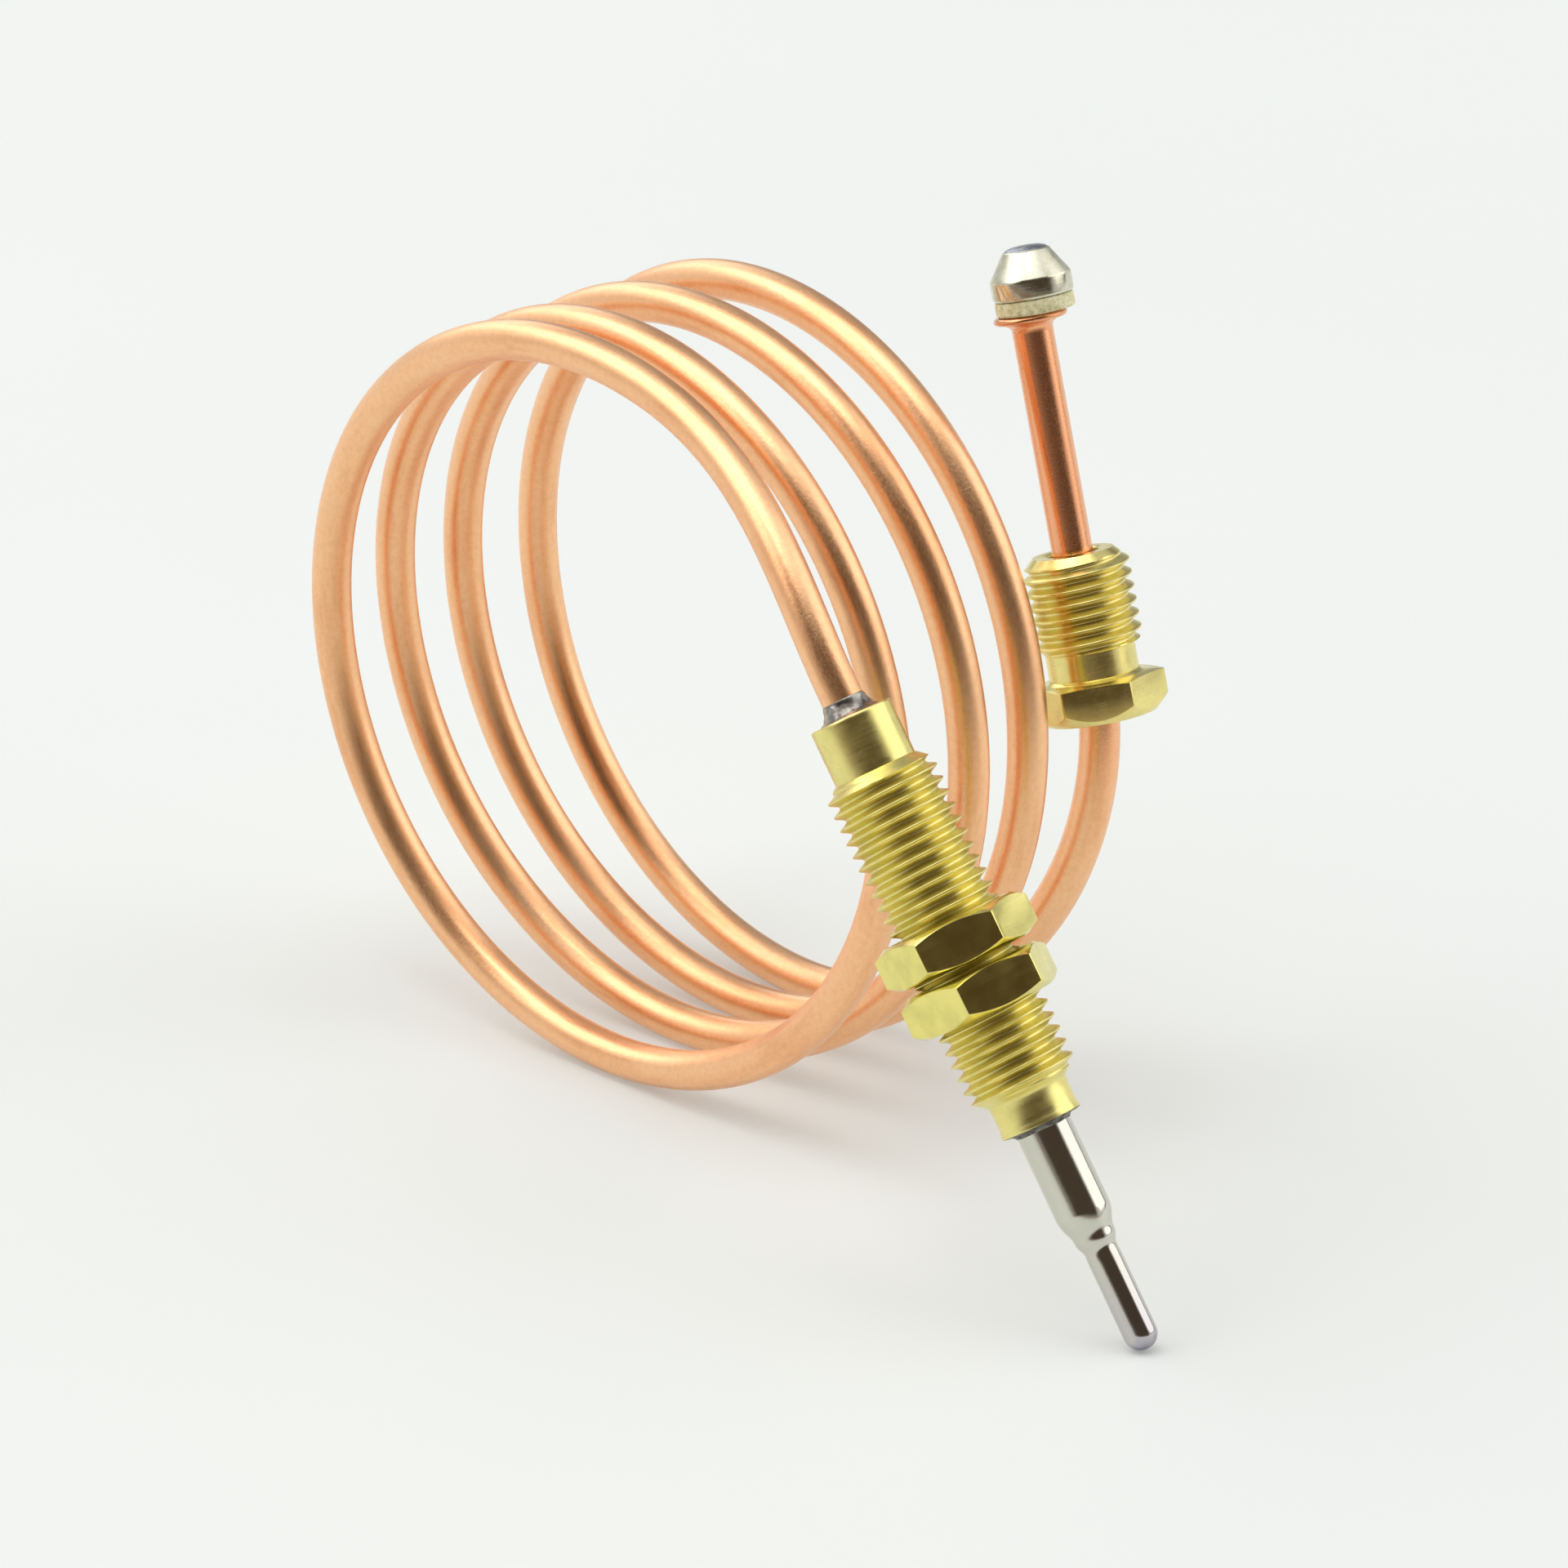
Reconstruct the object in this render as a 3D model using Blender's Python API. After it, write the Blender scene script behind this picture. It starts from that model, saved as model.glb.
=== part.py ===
"""Thermocouple for a gas boiler's pilot burner.

A steel probe sits in a threaded brass sleeve with two lock nuts. A copper tube leads from the
sleeve through four open turns to a contact button, and a loose union nut rides on its end.
The object stands on the undersides of the turns and on the tip of the probe.
Sizes below are in millimetres; the meshes are in metres, +Z up.
"""

import math

import bmesh
import bpy
from mathutils import Matrix, Vector

MM = 0.001

# Coil of the lead: turns about a level axis along Y, each bottom resting at z = 0
COIL_X = -14.75
COIL_Y = 1.213
COIL_RADIUS = 28.1
TURN_STATIONS = (-10.6, -11.4, -8.3, -4.9, -0.5, 2.0, 5.6, 9.8, 9.0)  # y at every half turn
TURN_LEAN = -1.0
RINGS_PER_TURN = 28
COIL_START = 1.4
COIL_END = 8.0 * math.pi - 1.495

# Lead tube, its insulation and its core wire
STRAIGHT_HEAD = 1.8
TUBE_RADIUS = 1.5
TUBE_BORE = 1.1
INSULATION_RADIUS = 0.85
INSULATION_BORE = 0.6
CORE_RADIUS = 0.4
TUBE_SIDES = 8
CORE_SIDES = 6

# Probe axis: stations run from the sleeve's rear face towards the steel tip
PROBE_REAR_X = 31.6
PROBE_REAR_Y = -16.2
PROBE_HEADING = math.radians(5.6)
PROBE_DIP = math.radians(55.9)
THREAD_RADIUS = 4.0
COLLAR_RADIUS = 3.0
FRONT_COLLAR_RADIUS = 2.9
REAR_THREAD_END = 5.0
FRONT_THREAD_END = 27.8
SLEEVE_LENGTH = 30.9
TUBE_SEAT_DEPTH = 7.0
TUBE_SEAT_BORE = 1.9
SLEEVE_BORE = 2.2
SHEATH_START = 15.0
BARREL_RADIUS = 2.0
BARREL_END = 37.9
BARREL_BORE = 1.5
NOSE_START = 40.4
NOSE_RADIUS = 1.2
NOSE_BORE = 0.75
NOSE_CENTRE = 47.0
ELEMENT_RADIUS = 0.5

# Lock nuts on the sleeve
LOCK_NUT_FLATS = 10.0
LOCK_NUT_THICKNESS = 3.1
LOCK_NUT_BORE = 4.3
LOCK_NUT_FACE_RADIUS = 4.8
LOCK_NUT_BEVEL = math.radians(33.0)
REAR_NUT_STATION = 15.65
FRONT_NUT_STATION = 19.4
REAR_NUT_TURN = 89.0
FRONT_NUT_TURN = 74.0

# Connector axis: heights run from the lead's end flange towards the contact
CONNECTOR_X = 19.4
CONNECTOR_Y = 14.2
CONNECTOR_Z = 58.7
CONNECTOR_HEADING = math.radians(-5.96)
CONNECTOR_DIP = math.radians(72.44)
STRAIGHT_LENGTH = 26.5
UNION_TOP = -17.2
UNION_THREAD_LENGTH = 6.9
UNION_NECK_RADIUS = 3.3
UNION_HEX_TOP = 9.3
UNION_LENGTH = 12.15
UNION_FLATS = 8.8
UNION_BORE = 1.95
UNION_TURN = -92.7
CONTACT_SHIFT = 0.5

SIDE = Vector((1.0, 1.0, 0.0))


def clear_scene():
    for item in list(bpy.data.objects):
        bpy.data.objects.remove(item, do_unlink=True)


def material(name, color, roughness, metallic):
    """A Principled material with one colour."""
    made = bpy.data.materials.new(name)
    made.use_nodes = True
    shader = made.node_tree.nodes["Principled BSDF"]
    shader.inputs["Base Color"].default_value = (*color, 1.0)
    shader.inputs["Roughness"].default_value = roughness
    shader.inputs["Metallic"].default_value = metallic
    return made


def direction(heading, dip):
    """Unit vector that points dip below the level, heading round from +X towards +Y."""
    level = math.cos(dip)
    return Vector((level * math.cos(heading), level * math.sin(heading), -math.sin(dip)))


def axis_empty(name, place, along):
    """Empty at place whose local Z runs along the axis and whose local X leans towards SIDE."""
    across = (SIDE - along * SIDE.dot(along)).normalized()
    turn = Matrix((across, along.cross(across), along)).transposed()
    empty = bpy.data.objects.new(name, None)
    empty.matrix_world = Matrix.Translation(place * MM) @ turn.to_4x4()
    bpy.context.scene.collection.objects.link(empty)
    return empty


def add_object(name, mesh, look, parent=None, place=(0.0, 0.0, 0.0)):
    made = bpy.data.objects.new(name, mesh)
    made.data.materials.append(look)
    made.parent = parent
    made.location = Vector(place) * MM
    bpy.context.scene.collection.objects.link(made)
    return made


def finish_mesh(name, shape, sharp_angle=30.0):
    """Turn a bmesh in millimetres into a smooth-shaded mesh in metres."""
    bmesh.ops.recalc_face_normals(shape, faces=shape.faces)
    bmesh.ops.scale(shape, vec=(MM, MM, MM), verts=shape.verts)
    mesh = bpy.data.meshes.new(name)
    shape.to_mesh(mesh)
    shape.free()
    mesh.shade_smooth()
    mesh.set_sharp_from_angle(angle=math.radians(sharp_angle))
    return mesh


def turned_mesh(name, profile, sides):
    """Revolve (radius, height) points about Z; a profile that stays off the axis makes a ring."""
    shape = bmesh.new()
    rings = []
    for radius, height in profile:
        if radius == 0.0:
            rings.append([shape.verts.new((0.0, 0.0, height))])
            continue
        ring = []
        for step in range(sides):
            angle = 2.0 * math.pi * (step + 0.5) / sides
            ring.append(shape.verts.new((radius * math.cos(angle), radius * math.sin(angle), height)))
        rings.append(ring)
    pairs = list(zip(rings, rings[1:]))
    if len(rings[0]) > 1:
        pairs.append((rings[-1], rings[0]))
    for lower, upper in pairs:
        for step in range(sides):
            following = (step + 1) % sides
            corners = [lower[step % len(lower)], lower[following % len(lower)]]
            corners += [upper[following % len(upper)], upper[step % len(upper)]]
            shape.faces.new(list(dict.fromkeys(corners)))
    return finish_mesh(name, shape)


def turned(name, profile, sides, look, parent, place=(0.0, 0.0, 0.0)):
    return add_object(name, turned_mesh(name, profile, sides), look, parent, place)


def cutter(name, mesh, parent, place):
    """A shape that only cuts others."""
    made = bpy.data.objects.new(name, mesh)
    made.parent = parent
    made.location = Vector(place) * MM
    made.hide_render = True
    made.display_type = "WIRE"
    bpy.context.scene.collection.objects.link(made)
    return made


def add_boolean(target, operation, tool):
    step = target.modifiers.new(tool.name, "BOOLEAN")
    step.operation = operation
    step.solver = "EXACT"
    step.object = tool


def hexagon_mesh(name, flats, low, high, turn_degrees):
    """Hexagonal prism with one flat facing turn_degrees round from local X."""
    shape = bmesh.new()
    corner = flats / math.sqrt(3.0)
    rings = []
    for height in (low, high):
        ring = []
        for step in range(6):
            angle = math.radians(turn_degrees + 30.0 + 60.0 * step)
            ring.append(shape.verts.new((corner * math.cos(angle), corner * math.sin(angle), height)))
        rings.append(ring)
    shape.faces.new(rings[0])
    shape.faces.new(rings[1])
    for step in range(6):
        following = (step + 1) % 6
        shape.faces.new((rings[0][step], rings[0][following], rings[1][following], rings[1][step]))
    return finish_mesh(name, shape)


# Route of the lead

def coil_height():
    """Height of the coil's axis, with the flat underside of the faceted tube at z = 0."""
    return COIL_RADIUS + polygon_radius(TUBE_RADIUS, TUBE_SIDES) * math.cos(math.pi / TUBE_SIDES)


def polygon_radius(radius, sides):
    """Corner radius of the polygon with the same area as the circle."""
    return radius * math.sqrt(2.0 * math.pi / (sides * math.sin(2.0 * math.pi / sides)))


def turn_station(half_turns):
    """Smooth curve through TURN_STATIONS, one station at each half turn."""
    last = len(TURN_STATIONS) - 1
    index = min(int(half_turns), last - 1)
    part = half_turns - index
    here, ahead = TURN_STATIONS[index], TURN_STATIONS[index + 1]
    before = TURN_STATIONS[index - 1] if index > 0 else 2.0 * here - ahead
    after = TURN_STATIONS[index + 2] if index + 2 <= last else 2.0 * ahead - here
    linear = (ahead - before) * part
    square = (2.0 * before - 5.0 * here + 4.0 * ahead - after) * part ** 2
    cube = (3.0 * here - before - 3.0 * ahead + after) * part ** 3
    return 0.5 * (2.0 * here + linear + square + cube)


def coil_point(angle):
    return Vector((
        COIL_X + COIL_RADIUS * math.cos(angle),
        COIL_Y + turn_station(angle / math.pi) + TURN_LEAN * math.sin(angle),
        coil_height() + COIL_RADIUS * math.sin(angle),
    ))


def coil_tangent(angle):
    return (coil_point(angle + 0.001) - coil_point(angle - 0.001)).normalized()


def blend_curve(start, start_way, end, end_way, steps):
    """Points of a cubic curve between two places, without its first and last point."""
    points = []
    for step in range(1, steps):
        s = step / steps
        point = start * (2 * s ** 3 - 3 * s ** 2 + 1) + end * (3 * s ** 2 - 2 * s ** 3)
        point += start_way * (s ** 3 - 2 * s ** 2 + s) + end_way * (s ** 3 - s ** 2)
        points.append(point)
    return points


def lead_route(probe_origin, probe_way, connector_origin, connector_way, start_depth, end_height):
    """Centreline of the lead, from start_depth inside the sleeve to end_height on the connector."""
    first, last = coil_point(COIL_START), coil_point(COIL_END)
    head = probe_origin - probe_way * STRAIGHT_HEAD
    reach_in = (first - head).length
    foot = connector_origin - connector_way * STRAIGHT_LENGTH
    reach_out = (foot - last).length
    points = [probe_origin + probe_way * start_depth, head]
    points += blend_curve(
        head, -probe_way * 0.9 * reach_in, first, coil_tangent(COIL_START) * 1.3 * reach_in, 9)
    steps = round((COIL_END - COIL_START) / (2.0 * math.pi) * RINGS_PER_TURN)
    for step in range(steps + 1):
        points.append(coil_point(COIL_START + (COIL_END - COIL_START) * step / steps))
    points += blend_curve(
        last, coil_tangent(COIL_END) * 1.56 * reach_out, foot, connector_way * 0.92 * reach_out, 11)
    points += [foot, connector_origin + connector_way * end_height]
    return points


def swept_mesh(name, points, radius, sides, bore=0.0):
    """Tube along the points, solid or with a bore, with flats towards +Y and -Y."""
    shape = bmesh.new()
    radii = [polygon_radius(radius, sides)]
    if bore:
        radii.append(polygon_radius(bore, sides))
    walls = [[] for _ in radii]
    for index, point in enumerate(points):
        way = (points[min(index + 1, len(points) - 1)] - points[max(index - 1, 0)]).normalized()
        out = way.cross(Vector((0.0, 1.0, 0.0))).normalized()
        up = out.cross(way)
        for wall, corner_radius in zip(walls, radii):
            ring = []
            for step in range(sides):
                angle = 2.0 * math.pi * (step + 0.5) / sides
                ring.append(shape.verts.new(
                    point + (out * math.cos(angle) + up * math.sin(angle)) * corner_radius))
            wall.append(ring)
    for wall in walls:
        for ring, following_ring in zip(wall, wall[1:]):
            for step in range(sides):
                following = (step + 1) % sides
                shape.faces.new((
                    ring[step], ring[following], following_ring[following], following_ring[step]))
    for end in (0, -1):
        if not bore:
            shape.faces.new(walls[0][end])
            continue
        for step in range(sides):
            following = (step + 1) % sides
            outer, inner = walls[0][end], walls[1][end]
            shape.faces.new((outer[step], outer[following], inner[following], inner[step]))
    return finish_mesh(name, shape, 50.0)


# Sub-parts

def make_lead(looks, frames):
    """Copper tube, insulation and core wire, nested on one route."""
    add_object("lead_tube", swept_mesh(
        "lead_tube", lead_route(*frames, TUBE_SEAT_DEPTH, 0.3), TUBE_RADIUS, TUBE_SIDES, TUBE_BORE),
        looks["copper"])
    add_object("core_insulation", swept_mesh(
        "core_insulation", lead_route(*frames, 6.8, 1.3), INSULATION_RADIUS, CORE_SIDES, INSULATION_BORE),
        looks["glass_fibre"])
    add_object("core_wire", swept_mesh(
        "core_wire", lead_route(*frames, 10.8, 4.8), CORE_RADIUS, CORE_SIDES), looks["copper"])


def make_sleeve(looks, axis):
    """Brass sleeve: plain collar, M8 x 1 thread body, plain collar, and a stepped bore."""
    turned("mounting_sleeve", [
        (TUBE_SEAT_BORE, 0.0), (COLLAR_RADIUS, 0.0), (COLLAR_RADIUS, 4.1), (3.35, 4.3),
        (THREAD_RADIUS, REAR_THREAD_END), (THREAD_RADIUS, FRONT_THREAD_END), (3.3, 28.3),
        (FRONT_COLLAR_RADIUS, 28.8), (FRONT_COLLAR_RADIUS, 30.5), (COLLAR_RADIUS, SLEEVE_LENGTH),
        (SLEEVE_BORE, SLEEVE_LENGTH), (SLEEVE_BORE, TUBE_SEAT_DEPTH + 0.3),
        (TUBE_SEAT_BORE, TUBE_SEAT_DEPTH + 0.3),
    ], 28, looks["brass"], axis)
    turned("rear_solder_fillet", [
        (1.68, -1.2), (1.74, -1.2), (1.8, -0.75), (1.95, -0.35), (2.15, -0.1), (1.68, -0.1),
    ], 16, looks["solder"], axis)
    turned("front_braze_ring", [
        (2.1, 31.0), (2.85, 31.0), (2.7, 31.12), (2.35, 31.25), (2.15, 31.45), (2.1, 31.45),
    ], 20, looks["braze"], axis)


def make_probe(looks, axis):
    """Stepped steel sheath, closed at the nose, and the thermoelement inside it."""
    nose = []
    for step in range(5):
        angle = math.radians(18.0 * step)
        nose.append((NOSE_RADIUS * math.cos(angle), NOSE_CENTRE + NOSE_RADIUS * math.sin(angle)))
    turned("hot_junction_sheath", [
        (0.0, NOSE_CENTRE + NOSE_RADIUS), *reversed(nose), (NOSE_RADIUS, NOSE_START),
        (1.35, NOSE_START - 0.8), (1.85, BARREL_END + 0.6), (BARREL_RADIUS, BARREL_END - 0.2),
        (BARREL_RADIUS, SHEATH_START), (BARREL_BORE, SHEATH_START), (BARREL_BORE, BARREL_END),
        (NOSE_BORE, NOSE_START), (NOSE_BORE, NOSE_CENTRE - 0.1), (0.0, NOSE_CENTRE),
    ], 20, looks["steel"], axis)
    turned("tip_weld_bead", [
        (0.0, 46.1), (0.45, 46.15), (0.62, 46.4), (0.62, 46.65), (0.4, 46.85), (0.0, 46.9),
    ], 10, looks["steel"], axis)
    turned("thermoelement_wire", [
        (0.0, 11.2), (ELEMENT_RADIUS, 11.2), (ELEMENT_RADIUS, 46.0), (0.0, 46.0),
    ], 10, looks["constantan"], axis)
    turned("sheath_insulator", [
        (0.7, 15.5), (1.3, 15.5), (1.3, 37.6), (0.7, 37.6),
    ], 14, looks["ceramic"], axis)
    turned("cold_junction_splice", [
        (0.68, 8.2), (1.05, 8.2), (1.05, 13.8), (0.68, 13.8),
    ], 12, looks["copper"], axis)
    turned("splice_insulator", [
        (1.25, 7.6), (1.7, 7.6), (1.7, 14.4), (1.25, 14.4),
    ], 14, looks["glass_fibre"], axis)


def bevelled_hexagon(name, flats, low, high, low_bevel, high_bevel, turn, look, parent, place):
    """Hexagon with its corners turned down; each bevel is (face radius, angle)."""
    made = add_object(name, hexagon_mesh(name, flats, low, high, turn), look, parent, place)
    corner = flats / math.sqrt(3.0) + 0.3
    low_radius, low_angle = low_bevel
    high_radius, high_angle = high_bevel
    envelope = turned_mesh(name + "_envelope", [
        (0.0, low - 0.0), (low_radius, low - 0.0),
        (corner, low + (corner - low_radius) * math.tan(low_angle)),
        (corner, high - (corner - high_radius) * math.tan(high_angle)),
        (high_radius, high), (0.0, high),
    ], 36)
    add_boolean(made, "INTERSECT", cutter(name + "_envelope", envelope, parent, place))
    return made


def make_lock_nut(name, station, turn, looks, axis):
    """M8 x 1 lock nut, its origin on the sleeve's axis at its rear face."""
    place = (0.0, 0.0, station)
    bevel = (LOCK_NUT_FACE_RADIUS, LOCK_NUT_BEVEL)
    nut = bevelled_hexagon(name, LOCK_NUT_FLATS, 0.0, LOCK_NUT_THICKNESS, bevel, bevel, turn,
                           looks["brass"], axis, place)
    bore = turned_mesh(name + "_bore", [
        (0.0, -1.0), (LOCK_NUT_BORE, -1.0), (LOCK_NUT_BORE, 5.0), (0.0, 5.0),
    ], 28)
    add_boolean(nut, "DIFFERENCE", cutter(name + "_bore", bore, axis, place))
    return nut


def make_union_nut(looks, axis):
    """Hollow screw: thread, relieved neck and hexagon, its origin on the lead at its top face."""
    place = (0.0, 0.0, UNION_TOP)
    nut = bevelled_hexagon(
        "union_nut", UNION_FLATS, -UNION_LENGTH, -UNION_HEX_TOP, (4.1, math.radians(46.0)),
        (3.6, math.radians(16.0)), UNION_TURN, looks["brass"], axis, place)
    shank = turned_mesh("union_shank", [
        (0.0, 0.0), (3.0, 0.0), (THREAD_RADIUS, -1.0), (THREAD_RADIUS, -UNION_THREAD_LENGTH + 0.3),
        (UNION_NECK_RADIUS, -UNION_THREAD_LENGTH), (UNION_NECK_RADIUS, -UNION_HEX_TOP - 1.0),
        (0.0, -UNION_HEX_TOP - 1.0),
    ], 28)
    bore = turned_mesh("union_bore", [
        (0.0, 1.0), (3.25, 1.0), (UNION_BORE, -0.3), (UNION_BORE, -14.0), (0.0, -14.0),
    ], 20)
    add_boolean(nut, "UNION", cutter("union_shank", shank, axis, place))
    add_boolean(nut, "DIFFERENCE", cutter("union_bore", bore, axis, place))
    return nut


def make_contact(looks, axis):
    """Flange on the lead's end, fibre washer, tinned button and its solder."""
    shifted = (CONTACT_SHIFT, 0.0, 0.0)
    turned("contact_flange", [
        (1.78, -0.25), (2.45, -0.25), (2.68, -0.05), (2.68, 0.15), (2.5, 0.32), (1.78, 0.32),
    ], 24, looks["copper"], axis)
    turned("insulating_washer", [
        (1.55, 0.45), (2.8, 0.45), (2.9, 0.6), (2.9, 1.4), (2.82, 1.5), (1.55, 1.5),
    ], 24, looks["fibre"], axis, shifted)
    turned("contact_cone", [
        (1.1, 1.6), (2.93, 1.6), (2.98, 1.75), (2.98, 2.85), (2.9, 3.0), (1.72, 4.8), (1.1, 4.8),
    ], 28, looks["tin"], axis, shifted)
    turned("contact_solder_pad", [
        (0.0, 4.9), (1.62, 4.9), (1.55, 5.05), (0.0, 5.05),
    ], 20, looks["solder"], axis, shifted)


def make_looks():
    return {
        "copper": material("copper", (0.93, 0.52, 0.34), 0.3, 1.0),
        "brass": material("brass", (0.82, 0.7, 0.32), 0.28, 1.0),
        "steel": material("steel", (0.55, 0.53, 0.5), 0.14, 1.0),
        "tin": material("tin", (0.85, 0.84, 0.8), 0.22, 1.0),
        "solder": material("solder", (0.42, 0.42, 0.43), 0.4, 1.0),
        "braze": material("braze", (0.3, 0.3, 0.31), 0.55, 0.8),
        "fibre": material("fibre", (0.72, 0.66, 0.46), 0.85, 0.0),
        "ceramic": material("ceramic", (0.85, 0.83, 0.78), 0.6, 0.0),
        "glass_fibre": material("glass_fibre", (0.8, 0.78, 0.68), 0.8, 0.0),
        "constantan": material("constantan", (0.66, 0.6, 0.52), 0.3, 1.0),
    }


def main():
    clear_scene()
    looks = make_looks()
    probe_way = direction(PROBE_HEADING, PROBE_DIP)
    probe_height = NOSE_RADIUS + NOSE_CENTRE * math.sin(PROBE_DIP)
    probe_origin = Vector((COIL_X + PROBE_REAR_X, COIL_Y + PROBE_REAR_Y, probe_height))
    connector_way = -direction(CONNECTOR_HEADING, CONNECTOR_DIP)
    connector_origin = Vector((COIL_X + CONNECTOR_X, COIL_Y + CONNECTOR_Y, CONNECTOR_Z))
    probe_axis = axis_empty("probe_axis", probe_origin, probe_way)
    connector_axis = axis_empty("connector_axis", connector_origin, connector_way)
    make_lead(looks, (probe_origin, probe_way, connector_origin, connector_way))
    make_sleeve(looks, probe_axis)
    make_probe(looks, probe_axis)
    make_lock_nut("rear_lock_nut", REAR_NUT_STATION, REAR_NUT_TURN, looks, probe_axis)
    make_lock_nut("front_lock_nut", FRONT_NUT_STATION, FRONT_NUT_TURN, looks, probe_axis)
    make_union_nut(looks, connector_axis)
    make_contact(looks, connector_axis)


main()
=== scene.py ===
import math

import bmesh
import bpy
import numpy as np
from mathutils import Matrix, Vector


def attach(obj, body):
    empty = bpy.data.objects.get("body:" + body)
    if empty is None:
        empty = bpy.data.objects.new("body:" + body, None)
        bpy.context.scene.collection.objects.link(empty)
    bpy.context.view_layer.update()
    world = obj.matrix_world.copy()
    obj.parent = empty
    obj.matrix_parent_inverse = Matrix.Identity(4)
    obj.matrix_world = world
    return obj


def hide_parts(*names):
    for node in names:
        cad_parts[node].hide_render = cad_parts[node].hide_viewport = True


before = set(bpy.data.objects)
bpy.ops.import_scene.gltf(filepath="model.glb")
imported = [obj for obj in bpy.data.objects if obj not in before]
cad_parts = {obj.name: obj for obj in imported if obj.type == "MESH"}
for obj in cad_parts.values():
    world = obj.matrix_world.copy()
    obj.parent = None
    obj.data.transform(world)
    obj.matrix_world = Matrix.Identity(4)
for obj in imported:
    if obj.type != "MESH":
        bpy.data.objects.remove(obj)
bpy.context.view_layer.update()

# A gas boiler thermocouple, resting on the bottoms of its coil's four turns and on the tip of its probe.
# Lengths are in millimetres and become metres when a mesh or a matrix is made.
MM = 0.001

# Coil about an axis along Y. The stations are its places along Y, one for each half turn.
TUBE_RADIUS, TUBE_BORE_RADIUS = 1.5, 1.1
COIL_X, COIL_Y = -14.75, 1.213
COIL_RADIUS = 28.1
COIL_Z = COIL_RADIUS + 1.46
TURN_STATIONS = (-10.6, -11.4, -8.3, -4.9, -0.5, 2.0, 5.6, 9.8, 9.0)
TURN_LEAN = -1.0
COIL_START = 1.4
COIL_END = 8.0 * math.pi - 1.495
COIL_STEPS = 650

# Lead outside the coil: mesh steps in its two bends, and its straight end's length.
ENTRY_STEPS, EXIT_STEPS = 38, 48
STRAIGHT_LENGTH = 26.5
# Distances along the lead between which the wound tube's surface gives way to the straight end's.
STRAIGHT_SURFACE = (698.0, 712.0)

# Pieces along the probe's axis, from the sleeve's rear face towards the tip.
NOSE_RADIUS, NOSE_HEIGHT = 1.22, 46.98
REAR_NUT_HEIGHT, REAR_NUT_TURN = 15.62, 89.0
FRONT_NUT_HEIGHT, FRONT_NUT_TURN = 19.38, 74.0
LOCK_NUT_FLATS, LOCK_NUT_CORNER, LOCK_NUT_THICKNESS = 10.0, 0.16, 3.15
# Pieces along the connector's axis, from the flange up. The washer and the button sit a little off it.
UNION_NUT_HEIGHT = -17.2
UNION_NUT_FLATS, UNION_NUT_CORNER, UNION_NUT_TURN = 8.8, 0.2, -92.7
BUTTON_SHIFT = 0.5

# Camera, in degrees and millimetres. Its aim is the coil's middle, moved to the right and down.
CAMERA_AZIMUTH, CAMERA_ELEVATION, CAMERA_ROLL = 45.1, 22.965, 0.474
CAMERA_AIM_HEIGHT, CAMERA_AIM_RIGHT, CAMERA_AIM_DOWN = 29.96, 6.313, 8.596
CAMERA_DISTANCE, CAMERA_LENS = 515.5, 160.02

# Floor: the object stands just above it, and its painted reflection in metal is browner towards the front;
# it also has a painted glow that lightens the shadows on it.
FLOOR_Z = -0.04
FLOOR_HALF_SIZE = 3.0
# Painted glow: the floor emits light of its own, which lightens the shadows on it.
FLOOR_PAINTED_GLOW = 0.46
FLOOR_TONES = ((0.548, 0.566, 0.550), (0.556, 0.574, 0.558))
# Painted reflection: the tone that glossy rays see on the floor towards the front, and the distances over
# which it fades in.
PAINTED_REFLECTION_TONE = (0.20, 0.13, 0.09)
PAINTED_REFLECTION_FADE = (0.07, 0.30)

# Studio. Bearings run in degrees from the middle of the front, heights from the horizon.
FRONT_WAY, RIGHT_WAY = (0.708, -0.706, 0.0), (0.706, 0.708, 0.0)
# The room's own light, by bearing: from one bearing to another it changes from one strength to another.
ROOM_LIGHT = (128.0, 160.0, 0.72, 0.36)
# Softboxes: strength, bearings and softness, heights and softness, lean of the bearings with height.
SOFTBOXES = (
    (1.8, (-155.0, -40.0, 6.0), (27.0, 82.0, 5.0), -0.5),
    (0.9, (80.0, 152.0, 5.0), (5.5, 62.0, 4.0), 0.6),
    (1.6, (-172.0, -138.0, 5.0), (12.0, 32.0, 4.0), 0.0),
    (1.4, (-400.0, 400.0, 5.0), (70.0, 100.0, 6.0), 0.0),
)
# Dim strip that climbs with the bearing: its height and its width by bearing, its ends, its band.
STRIP_HEIGHT = (70.0, 160.0, -16.0, 29.0)
STRIP_WIDTH = (102.0, 160.0, 1.0, 3.9)
STRIP_ENDS = (72.0, 158.0, 6.0)
STRIP_BAND = (-2.2, 2.2, 1.0)
STRIP_LIGHT = 0.22
# Dark patch across the front.
FRONT_BEARINGS, FRONT_HEIGHTS = (-56.0, 60.0, 10.0), (-0.5, 62.0, 9.0)
FRONT_TONE = (0.084, 0.061, 0.043)


def direction(heading, dip):
    """Unit vector that points down by dip."""
    level = math.cos(dip)
    return Vector((level * math.cos(heading), level * math.sin(heading), -math.sin(dip)))


# The tip's centre, 47 mm down the probe's axis, is 1.2 mm above the lowest points of the coil.
PROBE_DIP = math.radians(55.9)
PROBE_WAY = direction(math.radians(5.6), PROBE_DIP)
PROBE_ORIGIN = Vector((COIL_X + 31.6, COIL_Y - 16.2, 1.2 + 47.0 * math.sin(PROBE_DIP)))
CONNECTOR_WAY = -direction(math.radians(-5.96), math.radians(72.44))
CONNECTOR_ORIGIN = Vector((COIL_X + 19.4, COIL_Y + 14.2, 58.7))


def axis_matrix(place, along, shift=0.0):
    """World matrix of a frame whose Z runs along the axis and whose X leans towards (1, 1, 0)."""
    side = Vector((1.0, 1.0, 0.0))
    across = (side - along * side.dot(along)).normalized()
    turn = Matrix((across, along.cross(across), along)).transposed()
    return Matrix.Translation((place + across * shift) * MM) @ turn.to_4x4()


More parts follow.
